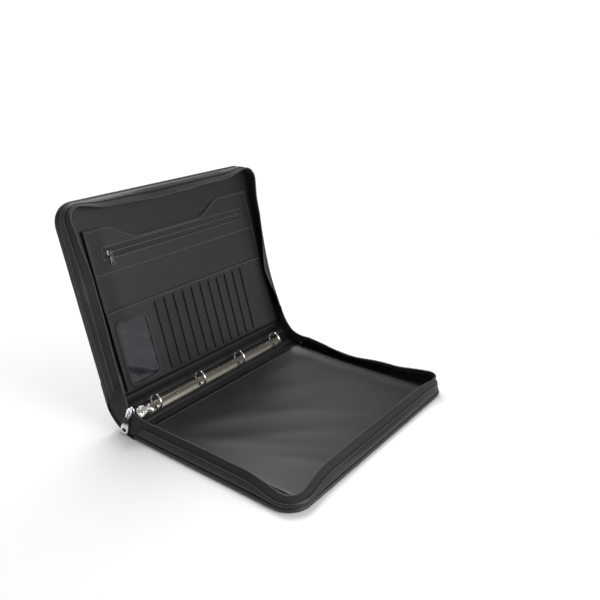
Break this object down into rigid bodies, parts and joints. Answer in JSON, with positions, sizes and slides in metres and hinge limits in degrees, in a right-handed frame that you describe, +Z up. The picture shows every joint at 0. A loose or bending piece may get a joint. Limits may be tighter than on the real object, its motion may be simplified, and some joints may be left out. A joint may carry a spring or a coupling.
{
  "type": "portfolio case",
  "caption": "Zip-round portfolio case standing open: padded covers on a curved spine, ring binder on the spine, organiser with pockets, card slits and clear window.",
  "frame": {"origin": "middle of the back cover's underside, where the case rests on a table", "axes": "+X from the spine to the back cover's outer edge, +Y along the spine away from the main zip slider, +Z up"},
  "size_m": [0.3676, 0.3487, 0.2807],
  "materials": {
    "outer_skin": "fine-grained black leatherette, low sheen",
    "padding_foam": "thin open-cell foam",
    "stiff_board": "grey board",
    "inner_lining": "smooth black leatherette",
    "pocket_sheet": "smooth black leatherette",
    "gusset_fabric": "soft black leatherette on cloth",
    "zip_tape": "woven polyester tape",
    "zip_coil": "nylon coil",
    "nickel_plate": "polished nickel plate",
    "chrome_wire": "polished",
    "spring_steel": "bright rolled",
    "cast_zinc": "plated casting",
    "black_zinc": "black lacquered casting",
    "clear_film": "clear soft film"
  },
  "bodies": {
    "back_cover": {"back_skin": "outer_skin", "back_foam": "padding_foam", "back_board": "stiff_board", "back_lining": "inner_lining", "back_sheet_pocket": "pocket_sheet", "back_gusset": "gusset_fabric", "back_zip_tape": "zip_tape", "back_zip_coil": "zip_coil"},
    "spine": {"spine_skin": "outer_skin", "spine_board": "stiff_board", "spine_lining": "inner_lining", "mechanism_pad": "stiff_board", "near_tape_web": "gusset_fabric", "far_tape_web": "gusset_fabric", "ring_housing": "nickel_plate", "housing_rivets": "nickel_plate", "lever_pin": "spring_steel", "main_slider": "cast_zinc"},
    "front_cover": {"front_skin": "outer_skin", "front_spine_strip": "outer_skin", "front_foam": "padding_foam", "front_board": "stiff_board", "front_lining": "inner_lining", "front_gusset": "gusset_fabric", "front_zip_tape": "zip_tape", "front_zip_coil": "zip_coil", "slip_pocket": "pocket_sheet", "wave_pocket": "pocket_sheet", "pocket_zip_tapes": "zip_tape", "pocket_zip_coil": "zip_coil", "card_leaves": "pocket_sheet", "card_panel": "pocket_sheet", "window_film": "clear_film", "window_frame": "pocket_sheet"},
    "back_rings": {"back_rail": "spring_steel", "back_ring_halves": "chrome_wire"},
    "front_rings": {"front_rail": "spring_steel", "front_ring_halves": "chrome_wire"},
    "ring_lever": {"ring_lever": "cast_zinc"},
    "main_pull": {"main_pull": "cast_zinc"},
    "pocket_slider": {"pocket_slider": "black_zinc"},
    "pocket_pull": {"pocket_pull": "black_zinc"}
  },
  "joints": [
    {"name": "spine_hinge", "type": "hinge", "parent": "back_cover", "child": "spine", "pos_m": [-0.1295, 0, 0.0006], "axis": [0, 1, 0], "range_deg": [-5, 55]},
    {"name": "cover_hinge", "type": "hinge", "parent": "spine", "child": "front_cover", "pos_m": [-0.17046, 0, 0.02928], "axis": [0, 1, 0], "range_deg": [-74, 50]},
    {"name": "lever_hinge", "type": "hinge", "parent": "spine", "child": "ring_lever", "pos_m": [-0.14651, -0.1365, 0.01466], "axis": [0.8192, 0, -0.5736], "range_deg": [0, 25]},
    {"name": "back_rail_hinge", "type": "hinge", "parent": "spine", "child": "back_rings", "pos_m": [-0.14101, 0, 0.01032], "axis": [0, 1, 0], "range_deg": [0, 16]},
    {"name": "front_rail_hinge", "type": "hinge", "parent": "spine", "child": "front_rings", "pos_m": [-0.15247, 0, 0.01835], "axis": [0, -1, 0], "range_deg": [0, 16]},
    {"name": "main_pull_hinge", "type": "hinge", "parent": "spine", "child": "main_pull", "pos_m": [-0.12843, -0.1738, 0.03525], "axis": [-0.9304, 0, 0.3665], "range_deg": [0, 170]},
    {"name": "pocket_slider_run", "type": "slide", "parent": "front_cover", "child": "pocket_slider", "axis": [0, 1, 0], "range_m": [0, 0.24]},
    {"name": "pocket_pull_hinge", "type": "hinge", "parent": "pocket_slider", "child": "pocket_pull", "pos_m": [-0.21091, -0.112, 0.21152], "axis": [0, -1, 0], "range_deg": [0, 150]}
  ],
  "couplings": [
    {"joint": "back_rail_hinge", "follows": "lever_hinge", "ratio": 0.64},
    {"joint": "front_rail_hinge", "follows": "lever_hinge", "ratio": 0.64}
  ]
}
